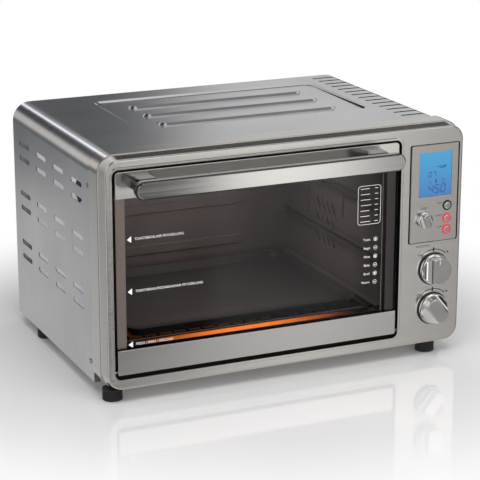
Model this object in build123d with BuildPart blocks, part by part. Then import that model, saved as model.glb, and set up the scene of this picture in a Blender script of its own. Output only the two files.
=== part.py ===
from build123d import *
import math
import os

os.makedirs("parts", exist_ok=True)

# Countertop toaster oven. Millimetres, +Z up, front towards -Y.
# The origin is the middle of the bounding box, on the surface the feet stand on.

# ---------------------------------------------------------------- overall size
WIDTH = 530.0
BODY_HEIGHT = 316.0
BODY_DEPTH = 377.0
FOOT_HEIGHT = 16.0
HANDLE_REACH = 45.0
GLAND_REACH = 10.0

TOTAL_DEPTH = HANDLE_REACH + BODY_DEPTH + GLAND_REACH
FACE_Y = -TOTAL_DEPTH / 2 + HANDLE_REACH
BACK_Y = FACE_Y + BODY_DEPTH
BASE_Z = FOOT_HEIGHT
TOP_Z = BASE_Z + BODY_HEIGHT
HALF_W = WIDTH / 2

# ---------------------------------------------------------------- sheet metal
SHEET = 1.0
FACE_T = 2.0
SKIRT_T = 1.5
FLANGE_DEPTH = 50.0
FRAME_R = 24.0
FRAME_DRAFT_DEPTH = 20.0
FRAME_DRAFT = 2.5
FRAME_STEP = 1.0
WRAP_INSET = 2.0
WRAP_R = 26.0
WRAP_TUCK = 8.0
WRAP_X = HALF_W - WRAP_INSET
WRAP_TOP = TOP_Z - WRAP_INSET
WRAP_Y0 = FACE_Y + FLANGE_DEPTH - WRAP_TUCK

# ---------------------------------------------------------------- door opening and cavity
OPEN_X = (-252.0, 165.5)
OPEN_Z = (BASE_Z + 17.5, BASE_Z + 300.0)
OPEN_R = 9.0
LIP_DEPTH = 14.0
CAVITY_X = (-240.0, 150.0)
CAVITY_Y = (FACE_Y + 17.0, FACE_Y + 320.0)
CAVITY_Z = (BASE_Z + 22.0, BASE_Z + 288.0)

# ---------------------------------------------------------------- door
DOOR_X = (-247.8, 161.5)
DOOR_FRONT = FACE_Y - 1.0
DOOR_BACK = FACE_Y + 12.0
DOOR_Z = (BASE_Z + 23.6, BASE_Z + 297.0)
TOP_TRIM_H = 35.5
BOTTOM_TRIM_H = 34.2
TRIM_T = 1.4
GLASS_T = 4.0
GLASS_Y = DOOR_FRONT + TRIM_T + 0.1
HINGE_Y = FACE_Y + 4.5
HINGE_Z = DOOR_Z[0] + 3.4
HINGE_PIN_R = 1.5
RUNNING_FIT = 0.05

# ---------------------------------------------------------------- handle
HANDLE_X = (-235.5, 148.0)
HANDLE_Z = BASE_Z + 281.0
HANDLE_H = 24.0
HANDLE_PLATE_T = 2.5
HANDLE_CORE_T = 10.5
HANDLE_FRONT = FACE_Y - HANDLE_REACH
HANDLE_BACK = HANDLE_FRONT + HANDLE_PLATE_T + HANDLE_CORE_T
BRACKET_INSET = 24.0

# ---------------------------------------------------------------- controls
PLATE_X = (181.0, 254.5)
PLATE_Z = (BASE_Z + 151.0, BASE_Z + 289.0)
PLATE_RAISE = 1.2
LCD_X = (193.1, 244.1)
LCD_Z = (BASE_Z + 216.0, BASE_Z + 277.7)
DIAL_X = 220.0
UPPER_DIAL_Z = BASE_Z + 111.2
LOWER_DIAL_Z = BASE_Z + 53.6
SMALL_DIAL = (202.5, BASE_Z + 183.6)
BUTTON_X = 238.5
BUTTON_Z = {
    "light_button": BASE_Z + 200.8,
    "start_button": BASE_Z + 182.9,
    "stop_button": BASE_Z + 166.5,
}
BUTTON_R = 5.2
RING_R = (5.7, 7.2)
SHAFT_R = 3.0
BOARD_Y = FACE_Y + 24.0
BOARD_T = 1.6
ENCODER_T = 9.0

# ---------------------------------------------------------------- rack, pan, tray and heating
RACK_Z = BASE_Z + 55.0
RACK_ROD_R = 2.2
RACK_WIRE_R = 1.3
RACK_FRONT = FACE_Y + 40.0
RACK_BACK = FACE_Y + 306.0
GUIDE_LEVELS = (RACK_Z, RACK_Z + 73.0, RACK_Z + 143.0)
GUIDE_W = 9.0
PAN_X = (-217.0, 127.0)
PAN_Y = (FACE_Y + 37.0, FACE_Y + 300.0)
PAN_DEPTH = 13.0
TRAY_Z = BASE_Z + 12.0
TRAY_WALL = 7.0
ELEMENT_R = 4.0
ELEMENTS = {
    "lower": ((FACE_Y + 53.0, FACE_Y + 265.0), BASE_Z + 44.5),
    "upper": ((FACE_Y + 40.0, FACE_Y + 265.0), BASE_Z + 275.0),
}
FAN_Y = FACE_Y + 192.0
FAN_Z = BASE_Z + 136.0
FAN_R = 34.0
SHIELD_X = 176.0

# ---------------------------------------------------------------- vents
SIDE_SLOT = (43.0, 7.0)
SIDE_SLOT_COLS = 4
SIDE_SLOT_PITCH = 74.0
SIDE_SLOT_Y = FACE_Y + 216.0
SIDE_SLOT_PAIR = 21.5
SIDE_SLOT_GROUPS = 3
SIDE_SLOT_GROUP_PITCH = 73.0
SIDE_SLOT_Z = BASE_Z + 178.0
TOP_SLOT = (40.0, 5.0)
TOP_SLOT_COUNT = 14
TOP_SLOT_PITCH = 21.4
TOP_SLOT_X = 226.0
TOP_SLOT_Y = FACE_Y + 216.0

FOOT_R = 13.5
FEET = [(x, y) for x in (-248.0, 223.0) for y in (FACE_Y + 23.0, FACE_Y + 295.0)]
GLAND_X = 205.0
GLAND_Z = BASE_Z + 42.0

ON_BASE = (Align.CENTER, Align.CENTER, Align.MIN)


# ---------------------------------------------------------------- helpers
def front_plane(y):
    """Sketch plane at depth y that faces the front: local x is +X and local y is +Z."""
    return Plane.XZ.offset(-y)


def side_plane(x):
    """Sketch plane at x that faces +X: local x is +Y and local y is +Z."""
    return Plane.YZ.offset(x)


def middle(limits):
    return (limits[0] + limits[1]) / 2


def span(limits):
    return limits[1] - limits[0]


def block(x, y, z, mode=Mode.ADD):
    """A box between three pairs of limits, in the part that is open."""
    with Locations((middle(x), middle(y), middle(z))):
        Box(span(x), span(y), span(z), mode=mode)


def rod(start, direction, radius, length, mode=Mode.ADD):
    """A round bar from a point along a direction, in the part that is open."""
    with Locations(Plane(origin=start, z_dir=direction)):
        Cylinder(radius, length, align=ON_BASE, mode=mode)


def write(piece, name):
    piece.part.label = name
    export_step(piece.part, f"parts/{name}.step")


# ---------------------------------------------------------------- outer wrap
EMBOSS_X = (-158.0, 192.0)
EMBOSS_Y = (FACE_Y + 134.0, FACE_Y + 335.0)
EMBOSS_R = 16.0
EMBOSS_DEPTH = 2.2
EMBOSS_SLOPE = 5.0
RIB_X = (-121.0, 152.0)
RIB_FRONTS = (FACE_Y + 160.0, FACE_Y + 219.0, FACE_Y + 274.0)
RIB_DEPTH = 26.0
RIB_RAISE = 0.9
RIB_R = 12.0
TUCK_TRIM = FRAME_R + 2.0

# The pressed field of the roof has sloping sides and fades out towards the front.
with BuildPart() as roof_press:
    with BuildSketch(Plane.XY.offset(WRAP_TOP + 0.1)) as press_mouth:
        with Locations((middle(EMBOSS_X), middle(EMBOSS_Y))):
            RectangleRounded(span(EMBOSS_X), span(EMBOSS_Y), EMBOSS_R)
    with BuildSketch(Plane.XY.offset(WRAP_TOP - EMBOSS_DEPTH)) as press_floor:
        with Locations((middle(EMBOSS_X), middle(EMBOSS_Y))):
            inset = 2 * EMBOSS_SLOPE
            RectangleRounded(span(EMBOSS_X) - inset, span(EMBOSS_Y) - inset, EMBOSS_R - EMBOSS_SLOPE)
    loft([press_mouth.sketch.face(), press_floor.sketch.face()])
    with BuildSketch(side_plane(EMBOSS_X[0] - 1)):
        with BuildLine():
            Polyline(
                (EMBOSS_Y[0] - 1, WRAP_TOP),
                (EMBOSS_Y[1] + 1, WRAP_TOP - EMBOSS_DEPTH),
                (EMBOSS_Y[1] + 1, WRAP_TOP + 1),
                (EMBOSS_Y[0] - 1, WRAP_TOP + 1),
                close=True,
            )
        make_face()
    extrude(amount=span(EMBOSS_X) + 2, mode=Mode.INTERSECT)

with BuildPart() as outer_wrap:
    with BuildSketch(front_plane(WRAP_Y0)):
        with Locations((0, middle((BASE_Z, WRAP_TOP)))):
            Rectangle(2 * WRAP_X, WRAP_TOP - BASE_Z)
        fillet(vertices().group_by(Axis.Y)[-1], WRAP_R)
    extrude(amount=-(BACK_Y - WRAP_Y0))
    with BuildSketch(front_plane(WRAP_Y0)):
        with Locations((0, middle((BASE_Z - SHEET, WRAP_TOP - SHEET)))):
            Rectangle(2 * (WRAP_X - SHEET), WRAP_TOP - BASE_Z)
        fillet(vertices().group_by(Axis.Y)[-1], WRAP_R - SHEET)
    extrude(amount=-(BACK_Y - WRAP_Y0), mode=Mode.SUBTRACT)
    # The flange that tucks into the frame stops above the frame's round lower corners.
    tuck_y = (WRAP_Y0 - 1, FACE_Y + FLANGE_DEPTH + 0.3)
    block((-HALF_W, HALF_W), tuck_y, (BASE_Z - 1, BASE_Z + TUCK_TRIM), Mode.SUBTRACT)
    block(
        (EMBOSS_X[0] - SHEET, EMBOSS_X[1] + SHEET),
        (EMBOSS_Y[0], EMBOSS_Y[1] + SHEET),
        (WRAP_TOP - SHEET - EMBOSS_DEPTH, WRAP_TOP - SHEET),
    )
    add(roof_press.part, mode=Mode.SUBTRACT)
    with BuildSketch(Plane.XY.offset(WRAP_TOP - EMBOSS_DEPTH - SHEET / 2)):
        for rib_front in RIB_FRONTS:
            with Locations((middle(RIB_X), rib_front + RIB_DEPTH / 2)):
                RectangleRounded(span(RIB_X), RIB_DEPTH, RIB_R)
    extrude(amount=EMBOSS_DEPTH + SHEET / 2 + RIB_RAISE, taper=45)
    with BuildSketch(Plane.XY.offset(WRAP_TOP + 1)):
        with Locations((TOP_SLOT_X, TOP_SLOT_Y)):
            with GridLocations(1, TOP_SLOT_PITCH, 1, TOP_SLOT_COUNT):
                SlotOverall(*TOP_SLOT)
    extrude(amount=-4, mode=Mode.SUBTRACT)
    with BuildSketch(side_plane(-HALF_W)):
        with Locations((SIDE_SLOT_Y, SIDE_SLOT_Z)):
            with GridLocations(0, SIDE_SLOT_GROUP_PITCH, 1, SIDE_SLOT_GROUPS):
                with GridLocations(SIDE_SLOT_PITCH, SIDE_SLOT_PAIR, SIDE_SLOT_COLS, 2):
                    SlotOverall(*SIDE_SLOT)
    extrude(amount=WIDTH, mode=Mode.SUBTRACT)
write(outer_wrap, "outer_wrap")

# ---------------------------------------------------------------- front frame
RIM_W = 3.5
RIM_RAISE = 0.8

FRAME_TAPER = math.degrees(math.atan2(FRAME_DRAFT, FRAME_DRAFT_DEPTH))


def frame_outline(inset):
    """The frame's round-cornered outline, drawn in by an inset on every side."""
    with Locations((0, middle((BASE_Z, TOP_Z)))):
        RectangleRounded(WIDTH - 2 * inset, BODY_HEIGHT - 2 * inset, FRAME_R - inset)


with BuildPart() as front_frame:
    # The face and its drafted sides stand a step inside the skirt behind them.
    with BuildSketch(front_plane(FACE_Y + FRAME_DRAFT_DEPTH)):
        frame_outline(FRAME_STEP)
    extrude(amount=FRAME_DRAFT_DEPTH, taper=FRAME_TAPER)
    fillet(faces().sort_by(Axis.Y)[0].edges(), 2.5)
    with BuildSketch(front_plane(FACE_Y + FRAME_DRAFT_DEPTH)):
        frame_outline(0)
    extrude(amount=FRAME_DRAFT_DEPTH - FLANGE_DEPTH)
    # The frame is a pressed tray, hollow from behind.
    with BuildSketch(front_plane(FACE_Y + FRAME_DRAFT_DEPTH + FRAME_STEP)):
        frame_outline(SKIRT_T)
    extrude(amount=FRAME_DRAFT_DEPTH + FRAME_STEP - FLANGE_DEPTH, mode=Mode.SUBTRACT)
    with BuildSketch(front_plane(FACE_Y + FRAME_DRAFT_DEPTH + FRAME_STEP)):
        frame_outline(SKIRT_T + FRAME_STEP)
    extrude(amount=FRAME_DRAFT_DEPTH + FRAME_STEP - FACE_T, taper=FRAME_TAPER, mode=Mode.SUBTRACT)
    # Rolled rim and return lip of the door opening.
    with BuildSketch(front_plane(FACE_Y + LIP_DEPTH)):
        with Locations((middle(OPEN_X), middle(OPEN_Z))):
            RectangleRounded(span(OPEN_X) + 2 * SKIRT_T, span(OPEN_Z) + 2 * SKIRT_T, OPEN_R + SKIRT_T)
    extrude(amount=LIP_DEPTH)
    with BuildSketch(front_plane(FACE_Y)):
        with Locations((middle(OPEN_X), middle(OPEN_Z))):
            RectangleRounded(span(OPEN_X) + 2 * RIM_W, span(OPEN_Z) + 2 * RIM_W, OPEN_R + RIM_W)
    extrude(amount=RIM_RAISE, taper=45)
    with BuildSketch(front_plane(FACE_Y + LIP_DEPTH)):
        with Locations((middle(OPEN_X), middle(OPEN_Z))):
            RectangleRounded(span(OPEN_X), span(OPEN_Z), OPEN_R)
    extrude(amount=LIP_DEPTH + 2 * RIM_RAISE, mode=Mode.SUBTRACT)
    # Control side: the seat of the raised plate, the two dial shafts and the hinge pins.
    with BuildSketch(front_plane(FACE_Y + FACE_T + 1)):
        with Locations((middle(PLATE_X), middle(PLATE_Z))):
            RectangleRounded(span(PLATE_X) + 4.0, span(PLATE_Z) + 1.6, 3.0)
        with Locations((DIAL_X, UPPER_DIAL_Z), (DIAL_X, LOWER_DIAL_Z)):
            Circle(SHAFT_R + 1.5)
    extrude(amount=FACE_T + 2, mode=Mode.SUBTRACT)
    rod((OPEN_X[0] - 5, HINGE_Y, HINGE_Z), (1, 0, 0), HINGE_PIN_R + 1.0, span(OPEN_X) + 10, Mode.SUBTRACT)
write(front_frame, "front_frame")

# ---------------------------------------------------------------- control plate and display
with BuildPart() as control_plate:
    with BuildSketch(front_plane(FACE_Y + FACE_T)):
        with Locations((middle(PLATE_X), middle(PLATE_Z))):
            RectangleRounded(span(PLATE_X), span(PLATE_Z), 3.0)
    extrude(amount=FACE_T + PLATE_RAISE)
    chamfer(faces().sort_by(Axis.Y)[0].edges(), 0.8)
    with BuildSketch(front_plane(FACE_Y + FACE_T)):
        with Locations((middle(LCD_X), middle(LCD_Z))):
            RectangleRounded(span(LCD_X) + 0.4, span(LCD_Z) + 0.4, 1.2)
        with Locations(SMALL_DIAL):
            Circle(SHAFT_R + 1.0)
        with Locations([(BUTTON_X, z) for z in BUTTON_Z.values()]):
            Circle(RING_R[1] + 0.1)
    extrude(amount=2 * FACE_T + PLATE_RAISE, mode=Mode.SUBTRACT)
write(control_plate, "control_plate")

with BuildPart() as display_window:
    with BuildSketch(front_plane(FACE_Y + FACE_T - 0.2)):
        with Locations((middle(LCD_X), middle(LCD_Z))):
            RectangleRounded(span(LCD_X), span(LCD_Z), 1.0)
    extrude(amount=FACE_T)
write(display_window, "display_window")

with BuildPart() as display_module:
    block((LCD_X[0] - 5, LCD_X[1] + 5), (FACE_Y + FACE_T + 0.1, BOARD_Y - 6), (LCD_Z[0] - 6, LCD_Z[1] + 5))
    # The pin header that carries the module on the board.
    block((205.0, 232.0), (BOARD_Y - 6, BOARD_Y), (LCD_Z[0] + 8, LCD_Z[0] + 14))
write(display_module, "display_module")

with BuildPart() as control_board:
    block((182.0, 254.0), (BOARD_Y, BOARD_Y + BOARD_T), (BASE_Z + 26, BASE_Z + 296))
write(control_board, "control_board")

with BuildPart(front_plane(BOARD_Y)) as board_posts:
    with Locations((186.0, BASE_Z + 30), (250.0, BASE_Z + 30), (186.0, BASE_Z + 132), (250.0, BASE_Z + 132)):
        Cylinder(3.0, BOARD_Y - FACE_Y - FACE_T, align=ON_BASE)
write(board_posts, "board_posts")

# ---------------------------------------------------------------- dials
SKIRT_H = 4.0
DIAL_GAP = 0.6
BEZEL_T = 1.2


def dial(centre, radius, height, grip, turn):
    """A knob: a round skirt, and a bar grip left between two scooped sides."""
    x, z = centre
    scoop = 0.75 * height
    with BuildPart(front_plane(FACE_Y - BEZEL_T - DIAL_GAP)) as knob:
        with Locations((x, z)):
            Cylinder(radius, SKIRT_H, align=ON_BASE)
            Cone(radius * 0.94, radius * 0.86, height, align=ON_BASE)
        fillet(faces().sort_by(Axis.Y)[0].edges(), 1.2)
        for side in (-1, 1):
            with Locations(Location((x, z, height + 2.0), (0, 0, turn))):
                with Locations((side * (grip / 2 + scoop - 1.0), 0, 0)):
                    Cylinder(scoop, 3 * radius, rotation=(90, 0, 0), mode=Mode.SUBTRACT)
        with Locations(Location((x, z, height), (0, 0, turn))):
            with Locations((0, radius * 0.62, 0)):
                Box(1.6, radius * 0.3, 1.6, mode=Mode.SUBTRACT)
        with Locations((x, z)):
            Cylinder(SHAFT_R + RUNNING_FIT, 0.6 * height, align=ON_BASE, mode=Mode.SUBTRACT)
    return knob


def dial_shaft(centre, height):
    """The encoder shaft that a knob is pushed on to."""
    x, z = centre
    with BuildPart(front_plane(BOARD_Y - 1.0)) as shaft:
        with Locations((x, z)):
            reach = BOARD_Y - 1.0 - (FACE_Y - BEZEL_T - DIAL_GAP) + 0.5 * height
            Cylinder(SHAFT_R, reach, align=ON_BASE)
    return shaft


DIALS = {
    "upper_dial": ((DIAL_X, UPPER_DIAL_Z), 22.0, 17.0, 19.0, 0.0),
    "lower_dial": ((DIAL_X, LOWER_DIAL_Z), 22.0, 17.0, 19.0, 40.0),
    "small_dial": (SMALL_DIAL, 11.5, 11.0, 9.0, 20.0),
}
for dial_name, (dial_centre, dial_radius, dial_height, dial_grip, dial_turn) in DIALS.items():
    write(dial(dial_centre, dial_radius, dial_height, dial_grip, dial_turn), dial_name)
    write(dial_shaft(dial_centre, dial_height), dial_name + "_shaft")

with BuildPart(front_plane(FACE_Y)) as dial_bezels:
    with Locations((DIAL_X, UPPER_DIAL_Z), (DIAL_X, LOWER_DIAL_Z)):
        Cylinder(23.5, BEZEL_T, align=ON_BASE)
        Cylinder(SHAFT_R + 1.5, BEZEL_T, align=ON_BASE, mode=Mode.SUBTRACT)
write(dial_bezels, "dial_bezels")

with BuildPart(front_plane(BOARD_Y)) as rotary_encoders:
    with Locations((DIAL_X, UPPER_DIAL_Z), (DIAL_X, LOWER_DIAL_Z), SMALL_DIAL):
        Box(14.0, 13.0, ENCODER_T, align=ON_BASE)
        Cylinder(SHAFT_R + RUNNING_FIT, ENCODER_T, align=ON_BASE, mode=Mode.SUBTRACT)
write(rotary_encoders, "rotary_encoders")

# ---------------------------------------------------------------- push buttons
BUTTON_PROUD = 3.2
BUTTON_TRAVEL = 1.2
STEM_R = 2.2
SWITCH_T = 5.0

for button_name, button_z in BUTTON_Z.items():
    with BuildPart(front_plane(FACE_Y + FACE_T)) as button:
        with Locations((BUTTON_X, button_z)):
            Cylinder(BUTTON_R, FACE_T + PLATE_RAISE + BUTTON_PROUD - 1.0, align=ON_BASE)
        fillet(faces().sort_by(Axis.Y)[0].edges(), 1.6)
        stem = BOARD_Y - SWITCH_T - BUTTON_TRAVEL - 0.3 - FACE_Y - FACE_T
        with Locations((BUTTON_X, button_z, -stem)):
            Cylinder(STEM_R, stem + 0.5, align=ON_BASE)
    write(button, button_name)

with BuildPart(front_plane(FACE_Y + FACE_T)) as lit_rings:
    with Locations((BUTTON_X, BUTTON_Z["start_button"]), (BUTTON_X, BUTTON_Z["stop_button"])):
        Cylinder(RING_R[1], FACE_T + PLATE_RAISE + 0.6, align=ON_BASE)
        Cylinder(RING_R[0], FACE_T + PLATE_RAISE + 0.6, align=ON_BASE, mode=Mode.SUBTRACT)
write(lit_rings, "lit_rings")

with BuildPart(front_plane(FACE_Y + FACE_T)) as plain_ring:
    with Locations((BUTTON_X, BUTTON_Z["light_button"])):
        Cylinder(RING_R[1], FACE_T + PLATE_RAISE + 0.3, align=ON_BASE)
        Cylinder(RING_R[0], FACE_T + PLATE_RAISE + 0.3, align=ON_BASE, mode=Mode.SUBTRACT)
write(plain_ring, "plain_ring")

with BuildPart(front_plane(BOARD_Y)) as button_switches:
    with Locations([(BUTTON_X, z) for z in BUTTON_Z.values()]):
        Box(6.0, 6.0, SWITCH_T, align=ON_BASE)
write(button_switches, "button_switches")

# ---------------------------------------------------------------- door
GLASS_IN_TRIM = 12.0


def trim_channel(z, corner_r, at_top):
    """A folded steel channel that closes one horizontal edge of the door."""
    with BuildPart() as channel:
        with BuildSketch(front_plane(DOOR_BACK)):
            with Locations((middle(DOOR_X), middle(z))):
                Rectangle(span(DOOR_X), span(z))
            outer = vertices().group_by(Axis.Y)[-1 if at_top else 0]
            fillet(outer, corner_r)
        extrude(amount=DOOR_BACK - DOOR_FRONT)
        fillet(faces().sort_by(Axis.Y)[0].edges(), 0.8)
        lift = -TRIM_T if at_top else TRIM_T
        block(
            (DOOR_X[0] + TRIM_T, DOOR_X[1] - TRIM_T),
            (DOOR_FRONT + TRIM_T, DOOR_BACK - TRIM_T),
            (z[0] + lift, z[1] + lift),
            Mode.SUBTRACT,
        )
        # The end caps stop short so that the glass runs out to the door's edge.
        glass_z = (z[0] - 1, z[0] + GLASS_IN_TRIM) if at_top else (z[1] - GLASS_IN_TRIM, z[1] + 1)
        glass_y = (GLASS_Y - 0.1, GLASS_Y + GLASS_T + 0.1)
        block((DOOR_X[0] - 1, DOOR_X[1] + 1), glass_y, glass_z, Mode.SUBTRACT)
    return channel


TOP_TRIM_Z = (DOOR_Z[1] - TOP_TRIM_H, DOOR_Z[1])
BOTTOM_TRIM_Z = (DOOR_Z[0], DOOR_Z[0] + BOTTOM_TRIM_H)
write(trim_channel(TOP_TRIM_Z, 5.0, True), "door_top_trim")
write(trim_channel(BOTTOM_TRIM_Z, 2.0, False), "door_bottom_trim")

with BuildPart() as door_glass:
    glass_z = (BOTTOM_TRIM_Z[1] - GLASS_IN_TRIM + 0.5, TOP_TRIM_Z[0] + GLASS_IN_TRIM - 0.5)
    block(DOOR_X, (GLASS_Y, GLASS_Y + GLASS_T), glass_z)
    chamfer(edges().filter_by(Axis.Z), 0.6)
write(door_glass, "door_glass")

RAIL_W = 13.0
RAIL_Z = (BOTTOM_TRIM_Z[1] + 0.2, TOP_TRIM_Z[0] - 0.2)
RAIL_Y = (GLASS_Y + GLASS_T + 0.2, DOOR_BACK)
RAIL_LEFT_X = (DOOR_X[0] + 1.5, DOOR_X[0] + 1.5 + RAIL_W)
RAIL_RIGHT_X = (DOOR_X[1] - 1.5 - RAIL_W, DOOR_X[1] - 1.5)
with BuildPart() as door_side_rails:
    for rail_x in (RAIL_LEFT_X, RAIL_RIGHT_X):
        block(rail_x, RAIL_Y, RAIL_Z)
        inner_y = (RAIL_Y[0] + TRIM_T, RAIL_Y[1] + 1)
        inner_z = (RAIL_Z[0] - 1, RAIL_Z[1] + 1)
        block((rail_x[0] + TRIM_T, rail_x[1] - TRIM_T), inner_y, inner_z, Mode.SUBTRACT)
write(door_side_rails, "door_side_rails")

PIN_REACH = 9.5
with BuildPart() as hinge_pins:
    rod((DOOR_X[0] - PIN_REACH, HINGE_Y, HINGE_Z), (1, 0, 0), HINGE_PIN_R, PIN_REACH)
    rod((DOOR_X[1], HINGE_Y, HINGE_Z), (1, 0, 0), HINGE_PIN_R, PIN_REACH)
write(hinge_pins, "hinge_pins")

BEARING_Y = (FACE_Y + FACE_T + 0.1, FACE_Y + LIP_DEPTH)
BEARING_Z = (BASE_Z + 18.5, BASE_Z + 44.0)
BEARING_W = 6.0
BEARING_LEFT_X = (OPEN_X[0] - SKIRT_T - BEARING_W, OPEN_X[0] - SKIRT_T - 0.1)
BEARING_RIGHT_X = (OPEN_X[1] + SKIRT_T + 0.1, OPEN_X[1] + SKIRT_T + BEARING_W)
with BuildPart() as hinge_bearings:
    block(BEARING_LEFT_X, BEARING_Y, BEARING_Z)
    block(BEARING_RIGHT_X, BEARING_Y, BEARING_Z)
    rod((-HALF_W, HINGE_Y, HINGE_Z), (1, 0, 0), HINGE_PIN_R + RUNNING_FIT, WIDTH, Mode.SUBTRACT)
write(hinge_bearings, "hinge_bearings")

# ---------------------------------------------------------------- handle
PLATE_RIM = 1.6
with BuildPart() as handle_plate:
    with BuildSketch(front_plane(HANDLE_FRONT + HANDLE_PLATE_T)):
        with Locations((middle(HANDLE_X), HANDLE_Z)):
            SlotOverall(span(HANDLE_X) - 2 * PLATE_RIM, HANDLE_H - 2 * PLATE_RIM)
    extrude(amount=HANDLE_PLATE_T)
    chamfer(faces().sort_by(Axis.Y)[0].edges(), 0.6)
write(handle_plate, "handle_plate")

with BuildPart() as handle_core:
    with BuildSketch(front_plane(HANDLE_BACK)):
        with Locations((middle(HANDLE_X), HANDLE_Z)):
            SlotOverall(span(HANDLE_X), HANDLE_H)
    extrude(amount=HANDLE_CORE_T)
    fillet(faces().sort_by(Axis.Y)[-1].edges(), 3.0)
write(handle_core, "handle_core")

BRACKET_ROOT = (30.0, 19.0)
BRACKET_HEAD = (40.0, 15.0)
BRACKET_SHIFT = 4.0
BRACKETS_X = (HANDLE_X[0] + BRACKET_INSET, HANDLE_X[1] - BRACKET_INSET)
with BuildPart() as handle_brackets:
    for bracket_x, inward in zip(BRACKETS_X, (1, -1)):
        with BuildSketch(front_plane(DOOR_FRONT)) as bracket_root:
            with Locations((bracket_x, HANDLE_Z)):
                RectangleRounded(*BRACKET_ROOT, 6.0)
        with BuildSketch(front_plane(HANDLE_BACK)) as bracket_head:
            with Locations((bracket_x + inward * BRACKET_SHIFT, HANDLE_Z)):
                RectangleRounded(*BRACKET_HEAD, 6.0)
        loft([bracket_root.sketch.face(), bracket_head.sketch.face()])
write(handle_brackets, "handle_brackets")

SCREW_R = 2.0
HEAD_R = 3.8
HEAD_T = 2.4
with BuildPart() as handle_screws:
    for bracket_x in BRACKETS_X:
        rod((bracket_x, DOOR_FRONT + TRIM_T, HANDLE_Z), (0, 1, 0), HEAD_R, HEAD_T)
write(handle_screws, "handle_screws")

# ---------------------------------------------------------------- cavity
WALL_Z = (CAVITY_Z[0], CAVITY_Z[1])
WALL_HOLES = [(y, z) for depths, z in ELEMENTS.values() for y in depths]
INSULATOR_R = 6.6
LAMP_Y = FACE_Y + 120.0
LAMP_Z = BASE_Z + 245.0
LAMP_R = 15.0

# The side walls and the floor run on past the back wall to the back panel.
WALL_Y = (CAVITY_Y[0], BACK_Y - 1.4)

with BuildPart() as cavity_left_wall:
    block((CAVITY_X[0] - SHEET, CAVITY_X[0]), WALL_Y, WALL_Z)
    with BuildSketch(side_plane(CAVITY_X[0] - 5)):
        with Locations(WALL_HOLES):
            Circle(INSULATOR_R + 0.2)
        with Locations((LAMP_Y, LAMP_Z)):
            Circle(LAMP_R + 0.2)
    extrude(amount=10, mode=Mode.SUBTRACT)
write(cavity_left_wall, "cavity_left_wall")

LOUVRE = (20.0, 4.0)
UPRIGHTS = (
    (FACE_Y + 251.0, (BASE_Z + 138.0, BASE_Z + 176.0)),
    (FACE_Y + 141.0, (BASE_Z + 158.0, BASE_Z + 192.0)),
)
with BuildPart() as cavity_right_wall:
    block((CAVITY_X[1], CAVITY_X[1] + SHEET), WALL_Y, WALL_Z)
    # Two pressed uprights beside the fan.
    for rib_y, rib_z in UPRIGHTS:
        block((CAVITY_X[1] - 1.5, CAVITY_X[1]), (rib_y - 3, rib_y + 3), rib_z)
    with BuildSketch(side_plane(CAVITY_X[1] - 2)):
        with Locations(WALL_HOLES):
            Circle(INSULATOR_R + 0.2)
        with Locations((FAN_Y, FAN_Z)):
            with GridLocations(16.0, 24.0, 4, 3):
                SlotOverall(*LOUVRE, rotation=55)
    extrude(amount=6, mode=Mode.SUBTRACT)
write(cavity_right_wall, "cavity_right_wall")

BACK_RIB_X = (-150.0, 73.0)
with BuildPart() as cavity_back_wall:
    block((CAVITY_X[0], CAVITY_X[1]), (CAVITY_Y[1], CAVITY_Y[1] + SHEET), (CAVITY_Z[0] + 2, CAVITY_Z[1]))
    with BuildSketch(front_plane(CAVITY_Y[1])):
        for rib_z in (BASE_Z + 150.0, BASE_Z + 88.0, BASE_Z + 212.0):
            with Locations((middle(BACK_RIB_X), rib_z)):
                SlotOverall(span(BACK_RIB_X), 14.0)
    extrude(amount=3.0, taper=25)
write(cavity_back_wall, "cavity_back_wall")

with BuildPart() as cavity_roof:
    block((CAVITY_X[0] - SHEET, CAVITY_X[1] + SHEET), CAVITY_Y, (CAVITY_Z[1], CAVITY_Z[1] + SHEET))
write(cavity_roof, "cavity_roof")

FLOOR_Z = TRAY_Z - 1.4
with BuildPart() as cavity_floor:
    block(
        (CAVITY_X[0] - SHEET, CAVITY_X[1] + SHEET),
        WALL_Y,
        (FLOOR_Z, FLOOR_Z + SHEET),
    )
write(cavity_floor, "cavity_floor")

RING_SILL_Z = TRAY_Z + TRAY_WALL + 7.0
with BuildPart() as cavity_front_ring:
    ring_y = (CAVITY_Y[0] - 1.2, CAVITY_Y[0])
    margin = SKIRT_T + FRAME_STEP + 1.2
    block((margin - HALF_W, OPEN_X[1] + 5.0), ring_y, (BASE_Z + margin, TOP_Z - margin))
    with BuildSketch(front_plane(ring_y[1] + 1)):
        with Locations((middle(CAVITY_X), middle((RING_SILL_Z, CAVITY_Z[1])))):
            Rectangle(span(CAVITY_X), CAVITY_Z[1] - RING_SILL_Z)
    extrude(amount=4, mode=Mode.SUBTRACT)
    fillet(edges().filter_by(Axis.Y).sort_by(Axis.X)[0:2], FRAME_R - SKIRT_T)
write(cavity_front_ring, "cavity_front_ring")

# ---------------------------------------------------------------- rack guides, rack and pan
GUIDE_T = 1.0
GUIDE_GAP = 8.0


with BuildPart() as rack_guides:
    # Three channels, one above the other, on each side wall.
    for wall_x, inward in zip(CAVITY_X, (1, -1)):
        for level in GUIDE_LEVELS:
            low = level - RACK_ROD_R - 0.3
            reach = sorted((wall_x, wall_x + inward * GUIDE_W))
            web = sorted((wall_x, wall_x + inward * GUIDE_T))
            length = (CAVITY_Y[0] + 4, CAVITY_Y[1] - 4)
            block(reach, length, (low - GUIDE_T, low))
            block(reach, length, (low + GUIDE_GAP, low + GUIDE_GAP + GUIDE_T))
            block(web, length, (low - GUIDE_T, low + GUIDE_GAP + GUIDE_T))
write(rack_guides, "rack_guides")

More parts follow.
